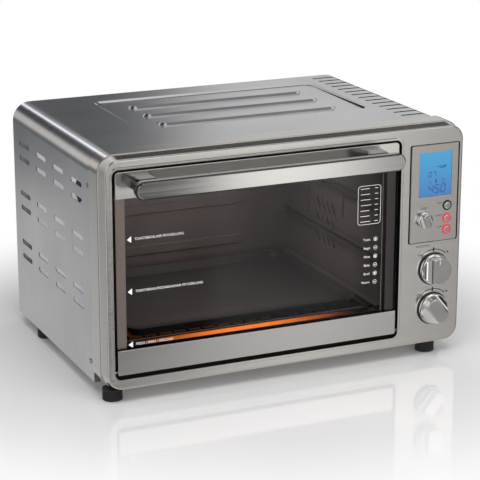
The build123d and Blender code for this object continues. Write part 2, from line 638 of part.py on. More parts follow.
RACK_X = (CAVITY_X[0] + 5.0, CAVITY_X[1] - 5.0)
RACK_WIRES = 17
with BuildPart() as wire_rack:
    for rail_x in RACK_X:
        rod((rail_x, RACK_FRONT, RACK_Z), (0, 1, 0), RACK_ROD_R, RACK_BACK - RACK_FRONT)
    for rail_y in (RACK_FRONT, RACK_BACK):
        rod((RACK_X[0], rail_y, RACK_Z), (1, 0, 0), RACK_ROD_R, span(RACK_X))
    with Locations([(x, y, RACK_Z) for x in RACK_X for y in (RACK_FRONT, RACK_BACK)]):
        Sphere(RACK_ROD_R)
    wire_pitch = span(RACK_X) / (RACK_WIRES + 1)
    for wire in range(RACK_WIRES):
        wire_x = RACK_X[0] + wire_pitch * (wire + 1)
        rod((wire_x, RACK_FRONT, RACK_Z), (0, 1, 0), RACK_WIRE_R, RACK_BACK - RACK_FRONT)
write(wire_rack, "wire_rack")

PAN_Z = RACK_Z + RACK_ROD_R + 0.1
PAN_T = 1.0
PAN_R = 22.0
PAN_RIM = 6.0
PAN_DRAFT = 15.0
with BuildPart() as baking_pan:
    with BuildSketch(Plane.XY.offset(PAN_Z + PAN_DEPTH)):
        with Locations((middle(PAN_X), middle(PAN_Y))):
            RectangleRounded(span(PAN_X), span(PAN_Y), PAN_R)
    extrude(amount=-PAN_T)
    with BuildSketch(Plane.XY.offset(PAN_Z + PAN_DEPTH)):
        with Locations((middle(PAN_X), middle(PAN_Y))):
            RectangleRounded(span(PAN_X) - 2 * PAN_RIM, span(PAN_Y) - 2 * PAN_RIM, PAN_R - PAN_RIM)
    extrude(amount=-PAN_DEPTH, taper=PAN_DRAFT)
    with BuildSketch(Plane.XY.offset(PAN_Z + PAN_DEPTH)):
        with Locations((middle(PAN_X), middle(PAN_Y))):
            inset = 2 * (PAN_RIM + PAN_T)
            RectangleRounded(span(PAN_X) - inset, span(PAN_Y) - inset, PAN_R - PAN_RIM - PAN_T)
    extrude(amount=PAN_T - PAN_DEPTH, taper=PAN_DRAFT, mode=Mode.SUBTRACT)
write(baking_pan, "baking_pan")

# ---------------------------------------------------------------- crumb tray
TRAY_X = (CAVITY_X[0] + 3.0, CAVITY_X[1] - 3.0)
TRAY_Y = (CAVITY_Y[0] + 3.0, BACK_Y + 1.5)
with BuildPart() as crumb_tray:
    block(TRAY_X, TRAY_Y, (TRAY_Z, TRAY_Z + TRAY_WALL))
    block(
        (TRAY_X[0] + SHEET, TRAY_X[1] - SHEET),
        (TRAY_Y[0] + SHEET, TRAY_Y[1] - SHEET),
        (TRAY_Z + SHEET, TRAY_Z + TRAY_WALL + 1),
        Mode.SUBTRACT,
    )
    block(TRAY_X, (TRAY_Y[1], TRAY_Y[1] + 7), (TRAY_Z, TRAY_Z + 1.5))
write(crumb_tray, "crumb_tray")

# ---------------------------------------------------------------- heating elements
ELEMENT_X = (CAVITY_X[0] - 9.0, CAVITY_X[1] + 9.0)
for level, (element_depths, element_z) in ELEMENTS.items():
    with BuildPart() as elements:
        for element_y in element_depths:
            rod((ELEMENT_X[0], element_y, element_z), (1, 0, 0), ELEMENT_R, span(ELEMENT_X))
    write(elements, level + "_elements")

INSULATOR_L = 10.0
with BuildPart() as element_insulators:
    for element_y, element_z in WALL_HOLES:
        for end_x in (CAVITY_X[0] - 0.5 - INSULATOR_L / 2, CAVITY_X[1] + 0.5 - INSULATOR_L / 2):
            rod((end_x, element_y, element_z), (1, 0, 0), INSULATOR_R, INSULATOR_L)
            rod((end_x, element_y, element_z), (1, 0, 0), ELEMENT_R + 0.1, INSULATOR_L, Mode.SUBTRACT)
write(element_insulators, "element_insulators")

# ---------------------------------------------------------------- convection fan
FAN_SHAFT_R = 2.0
HOUSING_R = 44.0
HOUSING_X = (CAVITY_X[1] + SHEET, SHIELD_X - 4.0)
FAN_X = CAVITY_X[1] + 5.0
VANES = 8

with BuildPart(side_plane(HOUSING_X[0])) as fan_housing:
    with Locations((FAN_Y, FAN_Z)):
        Cylinder(HOUSING_R, span(HOUSING_X), align=ON_BASE)
        Cylinder(HOUSING_R - SHEET, span(HOUSING_X) - SHEET, align=ON_BASE, mode=Mode.SUBTRACT)
        Cylinder(FAN_SHAFT_R + 2, span(HOUSING_X), align=ON_BASE, mode=Mode.SUBTRACT)
write(fan_housing, "fan_housing")

with BuildPart(side_plane(FAN_X)) as fan_wheel:
    with Locations((FAN_Y, FAN_Z)):
        Cylinder(FAN_R, 0.8, align=ON_BASE)
        Cylinder(6.0, 8.0, align=ON_BASE)
        with PolarLocations(FAN_R * 0.62, VANES):
            Box(FAN_R * 0.6, 1.0, 9.0, align=ON_BASE)
        Cylinder(FAN_SHAFT_R + RUNNING_FIT, 9.0, align=ON_BASE, mode=Mode.SUBTRACT)
write(fan_wheel, "fan_wheel")

with BuildPart(side_plane(FAN_X)) as fan_shaft:
    with Locations((FAN_Y, FAN_Z)):
        Cylinder(FAN_SHAFT_R, SHIELD_X - FAN_X + 22.0, align=ON_BASE)
write(fan_shaft, "fan_shaft")

with BuildPart(side_plane(SHIELD_X + SHEET)) as fan_motor:
    with Locations((FAN_Y, FAN_Z)):
        Box(52.0, 46.0, 28.0, align=ON_BASE)
        fillet(edges().filter_by(Axis.X), 8.0)
        Cylinder(FAN_SHAFT_R + RUNNING_FIT, 24.0, align=ON_BASE, mode=Mode.SUBTRACT)
write(fan_motor, "fan_motor")

with BuildPart() as heat_shield:
    block((SHIELD_X, SHIELD_X + SHEET), (CAVITY_Y[0] + 2, CAVITY_Y[1]), (BASE_Z + 10, CAVITY_Z[1]))
    rod((SHIELD_X - 1, FAN_Y, FAN_Z), (1, 0, 0), FAN_SHAFT_R + 2, 4, Mode.SUBTRACT)
write(heat_shield, "heat_shield")

# ---------------------------------------------------------------- lamp and sensor
with BuildPart(side_plane(CAVITY_X[0] - 14.0)) as lamp_housing:
    with Locations((LAMP_Y, LAMP_Z)):
        Cylinder(LAMP_R, 11.0, align=ON_BASE)
        with Locations((0, 0, 1.0)):
            Cylinder(LAMP_R - 1.2, 11.0, align=ON_BASE, mode=Mode.SUBTRACT)
write(lamp_housing, "lamp_housing")

with BuildPart(side_plane(CAVITY_X[0] - 13.0)) as oven_lamp:
    with Locations((LAMP_Y, LAMP_Z)):
        Cylinder(5.0, 3.0, align=ON_BASE)
        with Locations((0, 0, 3.0)):
            Cylinder(3.0, 4.0, align=ON_BASE)
        with Locations((0, 0, 7.0)):
            Sphere(3.0)
write(oven_lamp, "oven_lamp")

with BuildPart(side_plane(CAVITY_X[0] - 2.5)) as lamp_lens:
    with Locations((LAMP_Y, LAMP_Z)):
        Cylinder(LAMP_R, 5.5, align=ON_BASE)
    fillet(faces().sort_by(Axis.X)[-1].edges(), 2.0)
write(lamp_lens, "lamp_lens")

PROBE_Y = FACE_Y + 300.0
with BuildPart() as temperature_probe:
    rod((CAVITY_X[1] - 70.0, PROBE_Y, BASE_Z + 270.0), (1, 0, 0), 2.4, 70.0)
write(temperature_probe, "temperature_probe")

# ---------------------------------------------------------------- back, base, feet and fasteners
BACK_T = 1.2
TRAY_SLOT_Z = (TRAY_Z - 1.0, TRAY_Z + TRAY_WALL + 1.5)
with BuildPart() as back_panel:
    with BuildSketch(front_plane(BACK_Y)):
        back_z = (BASE_Z + SHEET + 0.3, WRAP_TOP - SHEET - 0.2)
        with Locations((0, middle(back_z))):
            Rectangle(2 * (WRAP_X - SHEET - 0.2), span(back_z))
        fillet(vertices().group_by(Axis.Y)[-1], WRAP_R - SHEET)
        with Locations((middle(CAVITY_X), middle(TRAY_SLOT_Z))):
            Rectangle(span(TRAY_X) + 4, span(TRAY_SLOT_Z), mode=Mode.SUBTRACT)
        with Locations((GLAND_X, GLAND_Z)):
            Circle(9.2, mode=Mode.SUBTRACT)
        with Locations((GLAND_X, BASE_Z + 200)):
            with GridLocations(0, 12.0, 1, 9):
                SlotOverall(40.0, 5.0, mode=Mode.SUBTRACT)
        with Locations((middle(CAVITY_X), BASE_Z + 262)):
            with GridLocations(60.0, 12.0, 5, 3):
                SlotOverall(44.0, 5.0, mode=Mode.SUBTRACT)
    extrude(amount=BACK_T)
write(back_panel, "back_panel")

BASE_Y0 = FACE_Y + FLANGE_DEPTH + 0.3
with BuildPart() as base_plate:
    block((-WRAP_X + SHEET + 0.2, WRAP_X - SHEET - 0.2), (BASE_Y0, BACK_Y - BACK_T), (BASE_Z, BASE_Z + SHEET))
write(base_plate, "base_plate")

FOOT_RIBS = 4
FOOT_RIB_DEPTH = 1.2
with BuildPart() as feet:
    with Locations(FEET):
        Cylinder(FOOT_R, FOOT_HEIGHT, align=ON_BASE)
    chamfer(faces().group_by(Axis.Z)[0].edges(), 1.0)
    groove_pitch = FOOT_HEIGHT / (FOOT_RIBS + 1)
    for groove in range(FOOT_RIBS):
        with Locations([(x, y, groove_pitch * (groove + 1)) for x, y in FEET]):
            Torus(FOOT_R, FOOT_RIB_DEPTH, mode=Mode.SUBTRACT)
    with Locations(FEET):
        Cylinder(4.4, 6.0, align=ON_BASE, mode=Mode.SUBTRACT)
        Cylinder(SCREW_R + 0.1, FOOT_HEIGHT, align=ON_BASE, mode=Mode.SUBTRACT)
write(feet, "feet")

with BuildPart() as foot_screws:
    for foot_x, foot_y in FEET:
        rod((foot_x, foot_y, 3.6), (0, 0, 1), HEAD_R, HEAD_T)
        rod((foot_x, foot_y, 3.6), (0, 0, 1), SCREW_R, FOOT_HEIGHT - 3.6)
write(foot_screws, "foot_screws")

with BuildPart() as cord_gland:
    rod((GLAND_X, BACK_Y + GLAND_REACH, GLAND_Z), (0, -1, 0), 9.0, GLAND_REACH + 8.0)
    rod((GLAND_X, BACK_Y + 2.5, GLAND_Z), (0, -1, 0), 12.0, 2.5)
    rod((GLAND_X, BACK_Y + GLAND_REACH, GLAND_Z), (0, -1, 0), 3.6, GLAND_REACH + 8.0, Mode.SUBTRACT)
    fillet(faces().sort_by(Axis.Y)[-1].edges(), 1.2)
write(cord_gland, "cord_gland")

SCREW_DOME = 1.6
BACK_SCREWS = [(x, z) for x in (-245.0, 245.0) for z in (40.0, 170.0, 300.0)]
with BuildPart(front_plane(BACK_Y)) as back_screws:
    with Locations([(x, z, -SCREW_DOME) for x, z in BACK_SCREWS]):
        Cylinder(HEAD_R, SCREW_DOME, align=ON_BASE)
    fillet(faces().sort_by(Axis.Y)[-1].edges(), 0.7)
write(back_screws, "back_screws")

WRAP_SCREW_Y = FACE_Y + 65.0
WRAP_SCREW_Z = (BASE_Z + 25.0, BASE_Z + 266.0)
with BuildPart() as wrap_screws:
    for screw_z in WRAP_SCREW_Z:
        rod((-WRAP_X, WRAP_SCREW_Y, screw_z), (-1, 0, 0), HEAD_R, SCREW_DOME)
        rod((WRAP_X, WRAP_SCREW_Y, screw_z), (1, 0, 0), HEAD_R, SCREW_DOME)
write(wrap_screws, "wrap_screws")
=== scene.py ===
import math

import bpy
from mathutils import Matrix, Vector


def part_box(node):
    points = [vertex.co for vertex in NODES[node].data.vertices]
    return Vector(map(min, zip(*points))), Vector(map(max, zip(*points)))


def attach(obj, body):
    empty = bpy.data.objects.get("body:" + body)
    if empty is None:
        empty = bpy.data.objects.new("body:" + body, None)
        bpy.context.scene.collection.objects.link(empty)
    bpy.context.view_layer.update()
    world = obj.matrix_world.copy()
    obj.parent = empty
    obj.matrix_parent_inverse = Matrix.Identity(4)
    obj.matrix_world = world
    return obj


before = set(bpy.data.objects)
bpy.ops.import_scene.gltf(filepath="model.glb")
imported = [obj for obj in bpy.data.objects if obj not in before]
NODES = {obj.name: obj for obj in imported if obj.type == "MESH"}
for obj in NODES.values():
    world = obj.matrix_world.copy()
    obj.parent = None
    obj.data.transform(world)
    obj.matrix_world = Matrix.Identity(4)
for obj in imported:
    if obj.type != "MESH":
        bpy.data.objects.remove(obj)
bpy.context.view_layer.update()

MM = 0.001


def low(node):
    return Vector(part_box(node)[0])


def high(node):
    return Vector(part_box(node)[1])


def tint(colour, factor):
    return tuple(min(1.0, c * factor) for c in colour)


def grey(value, warm=0.0):
    return (value * (1 + warm), value, value * (1 - warm))


# ------------------------------------------------------------ node helpers
# Sockets of Blender's Mix node when it mixes colours.
MIX_FACTOR, MIX_FIRST, MIX_SECOND, MIX_RESULT = 0, 6, 7, 2


class Graph:
    """Short ways to add nodes to a node tree."""

    def __init__(self, node_tree):
        self.nodes = node_tree.nodes
        self.links = node_tree.links

    def add(self, kind, **inputs):
        """A new node, with values on the inputs that are named."""
        node = self.nodes.new(kind)
        for key, value in inputs.items():
            node.inputs[key.replace("_", " ")].default_value = value
        return node

    def link(self, source, target):
        self.links.new(source, target)

    def fill(self, socket, value):
        """Puts a number, a colour or another node's output on an input."""
        if isinstance(value, (int, float)):
            socket.default_value = value
        elif isinstance(value, tuple):
            socket.default_value = (*value, 1.0)
        else:
            self.link(value, socket)

    def calculate(self, operation, first, second=0.0):
        node = self.add("ShaderNodeMath")
        node.operation = operation
        self.fill(node.inputs[0], first)
        self.fill(node.inputs[1], second)
        return node.outputs["Value"]

    def rise(self, source, start, end, smooth=False):
        """Nothing where the source is at the start, one where it is at the end or past it."""
        node = self.add("ShaderNodeMapRange", From_Min=start, From_Max=end)
        if smooth:
            node.interpolation_type = "SMOOTHSTEP"
        self.link(source, node.inputs["Value"])
        return node.outputs["Result"]

    def spread(self, source, lowest, highest):
        """A source between nothing and one, spread between two other values."""
        node = self.add("ShaderNodeMapRange", To_Min=lowest, To_Max=highest)
        self.link(source, node.inputs["Value"])
        return node.outputs["Result"]

    def ramp(self, source, stops):
        node = self.add("ShaderNodeValToRGB")
        elements = node.color_ramp.elements
        while len(elements) < len(stops):
            elements.new(0.5)
        for element, (place, colour) in zip(elements, stops):
            element.position = place
            element.color = (*colour, 1.0)
        self.link(source, node.inputs["Fac"])
        return node.outputs["Color"]

    def mix(self, factor, first, second):
        node = self.add("ShaderNodeMix")
        node.data_type = "RGBA"
        self.fill(node.inputs[MIX_FACTOR], factor)
        self.fill(node.inputs[MIX_FIRST], first)
        self.fill(node.inputs[MIX_SECOND], second)
        return node.outputs[MIX_RESULT]

    def blend(self, factor, first, second, surface):
        """Two shaders mixed by a factor, on the output's surface."""
        mixer = self.add("ShaderNodeMixShader")
        self.link(factor, mixer.inputs["Fac"])
        self.link(first, mixer.inputs[1])
        self.link(second, mixer.inputs[2])
        self.link(mixer.outputs["Shader"], surface)


class Tree(Graph):
    """A new material with a Principled shader."""

    def __init__(self, name):
        self.material = bpy.data.materials.new(name)
        self.material.use_nodes = True
        super().__init__(self.material.node_tree)
        self.shader = self.nodes["Principled BSDF"]
        self.surface = self.nodes["Material Output"].inputs["Surface"]

    def set(self, **values):
        """Values on the shader's own inputs."""
        for key, value in values.items():
            self.shader.inputs[key.replace("_", " ")].default_value = value

    def paint(self, shade, roughness):
        self.link(shade, self.shader.inputs["Base Color"])
        self.link(roughness, self.shader.inputs["Roughness"])

    def axis(self, space, name):
        """X, Y or Z of the place in metres ("Object") or of the way that a face looks ("Normal")."""
        where = self.add("ShaderNodeTexCoord")
        split = self.add("ShaderNodeSeparateXYZ")
        self.link(where.outputs[space], split.inputs["Vector"])
        return split.outputs[name]

    def noise(self, cells, detail=3.0, roughness=0.5):
        """Noise with so many cells per metre: one number, or one for each axis."""
        where = self.add("ShaderNodeTexCoord")
        mapping = self.add("ShaderNodeMapping", Scale=(cells,) * 3 if isinstance(cells, float) else cells)
        self.link(where.outputs["Object"], mapping.inputs["Vector"])
        node = self.add("ShaderNodeTexNoise", Scale=1.0, Detail=detail, Roughness=roughness)
        self.link(mapping.outputs["Vector"], node.inputs["Vector"])
        return node.outputs["Fac"]

    def shades(self, source, colour, darkest, lightest, places=(0.3, 0.7)):
        """The colour in tints between a darkest and a lightest, as the source goes."""
        return self.ramp(source, list(zip(places, (tint(colour, darkest), tint(colour, lightest)))))

    def facing(self, middle):
        """One on faces turned away from a point, nothing on faces turned to it."""
        where = self.add("ShaderNodeTexCoord")
        out = self.add("ShaderNodeVectorMath")
        out.operation = "SUBTRACT"
        self.link(where.outputs["Object"], out.inputs[0])
        out.inputs[1].default_value = middle
        turned = self.add("ShaderNodeVectorMath")
        turned.operation = "DOT_PRODUCT"
        self.link(out.outputs["Vector"], turned.inputs[0])
        self.link(where.outputs["Normal"], turned.inputs[1])
        return self.calculate("GREATER_THAN", turned.outputs["Value"], 0.0)

    def bump(self, source, strength, distance=0.2 * MM):
        node = self.add("ShaderNodeBump", Strength=strength, Distance=distance)
        self.link(source, node.inputs["Height"])
        self.link(node.outputs["Normal"], self.shader.inputs["Normal"])


# ------------------------------------------------------------ kinds of material
GRAIN_ALONG = 2.5
GRAIN_ACROSS = 420.0
# Near black painted on the wrap's inner faces: painted shade.
INSIDE_PAINTED_SHADE = (0.03, 0.03, 0.03)


def brushed(name, colour, along, rough=0.2, streak=0.07, cloudy=0.05, shell=None, painted_shade_end=None):
    """Brushed stainless steel: its grain runs along the named axes, with cloudy tone and fine streaks.

    A shell's middle is given where its inner faces are painted near black, as painted shade: they are
    those that face the middle.
    A painted shade end is (x, x, colour): between the two places the steel turns to that other colour,
    which is painted shade.
    """
    tree = Tree(name)
    grain = tree.noise([GRAIN_ALONG if axis in along else GRAIN_ACROSS for axis in "xyz"], 4.0, 0.6)
    streaks = tree.shades(grain, colour, 1 - streak, 1 + streak, (0.25, 0.75))
    clouds = tree.shades(tree.noise(7.0, 2.0), colour, 1 - cloudy, 1 + cloudy)
    shade = tree.mix(0.45, streaks, clouds)
    # Painted shade: the steel darkens along X towards the far end.
    if painted_shade_end is not None:
        near_x, far_x, other = painted_shade_end
        shade = tree.mix(tree.rise(tree.axis("Object", "X"), near_x, far_x), shade, other)
    if shell is not None:
        # Painted shade: faces turned towards the middle go near black.
        shade = tree.mix(tree.facing(shell), INSIDE_PAINTED_SHADE, shade)
    tree.paint(shade, tree.spread(grain, rough - 0.04, rough + 0.05))
    tree.bump(grain, 0.05, 0.04 * MM)
    tree.set(Metallic=1.0)
    return tree.material


def metal(name, colour, rough, cells=40.0, variation=0.06):
    """Plain or polished metal with faint mottling."""
    tree = Tree(name)
    cloud = tree.noise(cells, 4.0)
    shade = tree.shades(cloud, colour, 1 - variation, 1 + variation)
    tree.paint(shade, tree.spread(cloud, rough * 0.8, rough * 1.25))
    tree.set(Metallic=1.0)
    return tree.material


def moulded(name, colour, rough, bump=0.15):
    """Moulded plastic, rubber or ceramic with a fine grain."""
    tree = Tree(name)
    fine = tree.noise(900.0, 2.0)
    shade = tree.shades(tree.noise(25.0, 2.0), colour, 0.85, 1.2)
    tree.paint(shade, tree.spread(fine, rough - 0.05, rough + 0.07))
    tree.bump(fine, bump)
    return tree.material


BARE_DARK = (0.62, 0.62, 0.64)
BARE_LIGHT = (0.80, 0.80, 0.82)
# Tan of the painted glow on faces that look downwards.
GLOW_TAN_DARK = (0.80, 0.54, 0.41)
GLOW_TAN_LIGHT = (1.0, 0.76, 0.60)


def enamel(name, colour, rough, bare_side=0, painted_glow_under=False):
    """Dark coated sheet with fine speckle, a little worn and oily.

    The side of a wall that looks to -X or +X can be bare steel, and the faces that look downwards can take
    a tan tone, which is painted light: it stands in for the elements' glow from below.
    """
    tree = Tree(name)
    fine = tree.noise(1300.0, 2.0)
    cloud = tree.noise((14.0, 14.0, 9.0), 5.0, 0.6)
    speckled = tree.shades(fine, colour, 0.75, 1.25, (0.35, 0.65))
    worn = tree.shades(cloud, colour, 0.75, 1.35, (0.3, 0.75))
    shade = tree.mix(0.55, speckled, worn)
    if bare_side:
        outside = tree.rise(tree.axis("Normal", "X"), 0.4 * bare_side, 0.6 * bare_side)
        shade = tree.mix(outside, shade, tree.ramp(cloud, [(0.3, BARE_DARK), (0.7, BARE_LIGHT)]))
    # Painted light: faces that look downwards turn tan, as if lit by the elements' glow.
    if painted_glow_under:
        under = tree.rise(tree.axis("Normal", "Z"), -0.25, -0.5)
        shade = tree.mix(under, shade, tree.ramp(cloud, [(0.3, GLOW_TAN_DARK), (0.7, GLOW_TAN_LIGHT)]))
    tree.paint(shade, tree.spread(cloud, rough - 0.1, rough + 0.12))
    tree.bump(fine, 0.2, 0.1 * MM)
    tree.set(Metallic=0.2)
    return tree.material


GLASS_GLOSS = (0.36, 0.37, 0.39)
GLASS_SMUDGE = 0.02


def thin_glass(name, colour, rough=0.01):
    """A clear pane: what is behind shows through, and its face reflects by Fresnel."""
    tree = Tree(name)
    tree.nodes.remove(tree.shader)
    clear = tree.add("ShaderNodeBsdfTransparent", Color=(*colour, 1.0))
    gloss = tree.add("ShaderNodeBsdfGlossy", Color=(*GLASS_GLOSS, 1.0))
    smear = tree.noise(9.0, 4.0)
    tree.link(tree.spread(smear, rough, rough + GLASS_SMUDGE), gloss.inputs["Roughness"])
    fresnel = tree.add("ShaderNodeFresnel", IOR=1.28)
    tree.blend(fresnel.outputs["Fac"], clear.outputs["BSDF"], gloss.outputs["BSDF"], tree.surface)
    return tree.material


def glowing_rod(name, hot, cool, centre_x, half_length, strength):
    """A metal-sheathed heating rod: it glows in its middle and cools to scaled steel at the ends."""
    tree = Tree(name)
    away = tree.calculate("ABSOLUTE", tree.calculate("SUBTRACT", tree.axis("Object", "X"), centre_x))
    heat = tree.rise(away, half_length * 0.85, half_length * 0.05, smooth=True)
    mottle = tree.noise((90.0, 160.0, 160.0), 3.0)
    scaled = tree.shades(mottle, cool, 0.7, 1.3)
    tree.link(tree.mix(heat, scaled, tint(hot, 0.8)), tree.shader.inputs["Base Color"])
    glow = tree.calculate("MULTIPLY", heat, tree.spread(mottle, 0.75, 1.25))
    tree.link(tree.calculate("MULTIPLY", glow, strength), tree.shader.inputs["Emission Strength"])
    tree.set(Emission_Color=(*hot, 1.0), Roughness=0.55, Metallic=0.6)
    return tree.material


def grip_core(name, front, top, back):
    """Moulded bar, gloss black in front and at its ends; its paler top and its palest back are painted
    light.
    """
    tree = Tree(name)
    cloud = tree.noise(30.0, 2.0)
    shade = tree.shades(cloud, front, 0.85, 1.2)
    # Painted light: faces that look up, and more so faces that look back, turn paler.
    for side, other in (("Z", top), ("Y", back)):
        shade = tree.mix(tree.rise(tree.axis("Normal", side), 0.5, 0.8), shade, other)
    tree.paint(shade, tree.spread(cloud, 0.12, 0.2))
    tree.set(Coat_Weight=0.35, Coat_Roughness=0.05)
    return tree.material


PANEL_BLACK = (0.01, 0.01, 0.012)


def lit_panel(name, top, bottom, z_low, z_high, strength):
    """A back-lit panel: its colour goes from bottom to top and has a faint pixel grain."""
    tree = Tree(name)
    height = tree.rise(tree.axis("Object", "Z"), z_low, z_high)
    halfway = tuple((a + b) / 2 for a, b in zip(bottom, top))
    shade = tree.ramp(height, [(0.0, bottom), (0.45, halfway), (1.0, top)])
    cells = tree.noise(900.0, 1.0)
    shade = tree.mix(tree.spread(cells, 0.0, 0.12), shade, tint(bottom, 0.7))
    tree.link(tree.mix(0.92, shade, PANEL_BLACK), tree.shader.inputs["Base Color"])
    tree.link(shade, tree.shader.inputs["Emission Color"])
    tree.set(Emission_Strength=strength, Roughness=0.25)
    return tree.material


def ink(name, colour, strength=0.0):
    """Screen-printed ink with slightly uneven cover."""
    tree = Tree(name)
    shade = tree.shades(tree.noise(500.0, 2.0), colour, 0.85, 1.05)
    tree.link(shade, tree.shader.inputs["Base Color"])
    tree.link(shade, tree.shader.inputs["Emission Color"])
    tree.set(Roughness=0.5, Emission_Strength=strength)
    return tree.material


# ------------------------------------------------------------ materials of the CAD nodes
WRAP_MID = (low("outer_wrap") + high("outer_wrap")) / 2
RAIL_SPAN = (low("door_side_rails").x, high("door_side_rails").x)
DISPLAY_LOW = low("display_window")
DISPLAY_SPAN = (DISPLAY_LOW.z, high("display_window").z)
RING_SPAN = (low("lit_rings").z, high("lit_rings").z)
ROD_LOW = low("lower_elements").x
ROD_HIGH = high("lower_elements").x
ROD_MID = (ROD_LOW + ROD_HIGH) / 2
ROD_HALF = (ROD_HIGH - ROD_LOW) / 2

CAVITY_GREY = (0.075, 0.073, 0.074)
# Dark grey painted at the rails' far end: painted shade.
RAIL_PAINTED_SHADE = (0.20, 0.18, 0.175)
DISPLAY_TOP = (0.06, 0.37, 0.66)
DISPLAY_BOTTOM = (0.06, 0.21, 0.50)
RING_RED = (0.66, 0.05, 0.06)
HOT_RED = (1.0, 0.22, 0.025)
HOT_SCALE = (0.10, 0.06, 0.045)
WARM_TAN = (0.9, 0.50, 0.34)
WARM_SCALE = (0.42, 0.32, 0.28)
CORE_BLACK = (0.012, 0.012, 0.013)
# Painted light for the handle core's top and back.
CORE_TOP_PAINTED_LIGHT = (0.10, 0.10, 0.098)
CORE_BACK_PAINTED_LIGHT = (0.62, 0.61, 0.59)

BLACK = moulded("black_plastic", (0.022, 0.022, 0.024), 0.42)
CHROME = metal("chrome", (0.80, 0.79, 0.78), 0.06)
# The pink tint is a painted reflection of the red rings' glow.
RED_GLOW_CHROME = metal("chrome_painted_red_glow", (0.95, 0.66, 0.67), 0.10)
BRIGHT = metal("bright_steel", (0.62, 0.62, 0.62), 0.24)
ZINC = metal("galvanised", (0.52, 0.53, 0.54), 0.42, cells=70.0, variation=0.16)
CAVITY = enamel("cavity_enamel", CAVITY_GREY, 0.42)

LOOKS = {
    # Case
    # The wrap's strong cloudy tone is random mottle, and it also stands in for soft patches of light on
    # the case: partly painted light.
    "outer_wrap": brushed(
        "wrap_steel", (0.60, 0.60, 0.615), "xz", rough=0.19, streak=0.12, cloudy=0.2, shell=WRAP_MID
    ),
    "front_frame": brushed("frame_steel", (0.66, 0.645, 0.62), "x"),
    "control_plate": brushed("plate_steel", (0.58, 0.565, 0.55), "x", rough=0.22),
    "back_panel": metal("back_zinc", (0.50, 0.505, 0.51), 0.4, cells=60.0, variation=0.12),
    "feet": moulded("foot_rubber", (0.018, 0.018, 0.019), 0.62, bump=0.3),
    # Door
    "door_top_trim": brushed("top_trim_steel", (0.80, 0.785, 0.76), "x"),
    "door_bottom_trim": brushed("bottom_trim_steel", (0.58, 0.57, 0.56), "x"),
    # The rail steel runs from a pale tan at its near end to dark grey at its far end: painted light and
    # shade.
    "door_side_rails": brushed(
        "rail_steel", (0.74, 0.62, 0.54), "z", rough=0.35, painted_shade_end=(*RAIL_SPAN, RAIL_PAINTED_SHADE)
    ),
    "door_glass": thin_glass("pane_glass", (0.84, 0.84, 0.85)),
    "handle_plate": brushed("handle_steel", (0.64, 0.635, 0.62), "x", rough=0.10),
    "handle_core": grip_core("handle_core_black_painted_light", CORE_BLACK, CORE_TOP_PAINTED_LIGHT, CORE_BACK_PAINTED_LIGHT),
    "handle_brackets": metal("black_chrome", (0.13, 0.128, 0.125), 0.11),
    # Controls
    "display_window": lit_panel("display_light", DISPLAY_TOP, DISPLAY_BOTTOM, *DISPLAY_SPAN, 0.9),
    "lit_rings": lit_panel("ring_light", RING_RED, RING_RED, *RING_SPAN, 1.1),
    "control_board": moulded("board_green", (0.04, 0.18, 0.08), 0.45),
    # Cavity
    "cavity_front_ring": enamel("ring_enamel", (0.012, 0.012, 0.012), 0.5),
    # The back wall's downward faces carry painted light from the elements' glow.
    "cavity_back_wall": enamel("back_wall_enamel", CAVITY_GREY, 0.42, painted_glow_under=True),
    "cavity_left_wall": enamel("left_wall_enamel", CAVITY_GREY, 0.42, bare_side=-1),
    "cavity_right_wall": enamel("right_wall_enamel", CAVITY_GREY, 0.42, bare_side=1),
    "wire_rack": metal("rack_chrome", (0.20, 0.19, 0.19), 0.22),
    "baking_pan": enamel("nonstick", (0.03, 0.03, 0.031), 0.34),
    "lower_elements": glowing_rod("hot_rod", HOT_RED, HOT_SCALE, ROD_MID, ROD_HALF, 1.3),
    "upper_elements": glowing_rod("warm_rod", WARM_TAN, WARM_SCALE, ROD_MID, 2 * ROD_HALF, 0.42),
    "element_insulators": moulded("ceramic", (0.78, 0.76, 0.72), 0.5),
    "lamp_lens": thin_glass("lens_glass", (0.92, 0.92, 0.9), rough=0.25),
    "oven_lamp": thin_glass("bulb_glass", (0.9, 0.9, 0.88), rough=0.1),
}
SHARED = (
    (CAVITY, ("cavity_roof", "rack_guides")),
    (ZINC, ("cavity_floor", "crumb_tray", "base_plate", "heat_shield", "hinge_bearings")),
    (ZINC, ("fan_housing", "fan_wheel", "fan_motor", "lamp_housing")),
    (CHROME, ("upper_dial", "lower_dial", "small_dial", "light_button")),
    (RED_GLOW_CHROME, ("start_button", "stop_button")),
    (BRIGHT, ("upper_dial_shaft", "lower_dial_shaft", "small_dial_shaft", "rotary_encoders")),
    (BRIGHT, ("hinge_pins", "handle_screws", "fan_shaft", "temperature_probe")),
    (BRIGHT, ("foot_screws", "back_screws", "wrap_screws")),
    (BLACK, ("display_module", "board_posts", "dial_bezels", "plain_ring")),
    (BLACK, ("button_switches", "cord_gland")),
)
for material, names in SHARED:
    for node_name in names:
        LOOKS[node_name] = material

for node_name, obj in NODES.items():
    obj.data.materials.clear()
    obj.data.materials.append(LOOKS[node_name])

# ------------------------------------------------------------ printed pieces
PRINT_T = 0.06 * MM
PRINT_GAP = 0.02 * MM


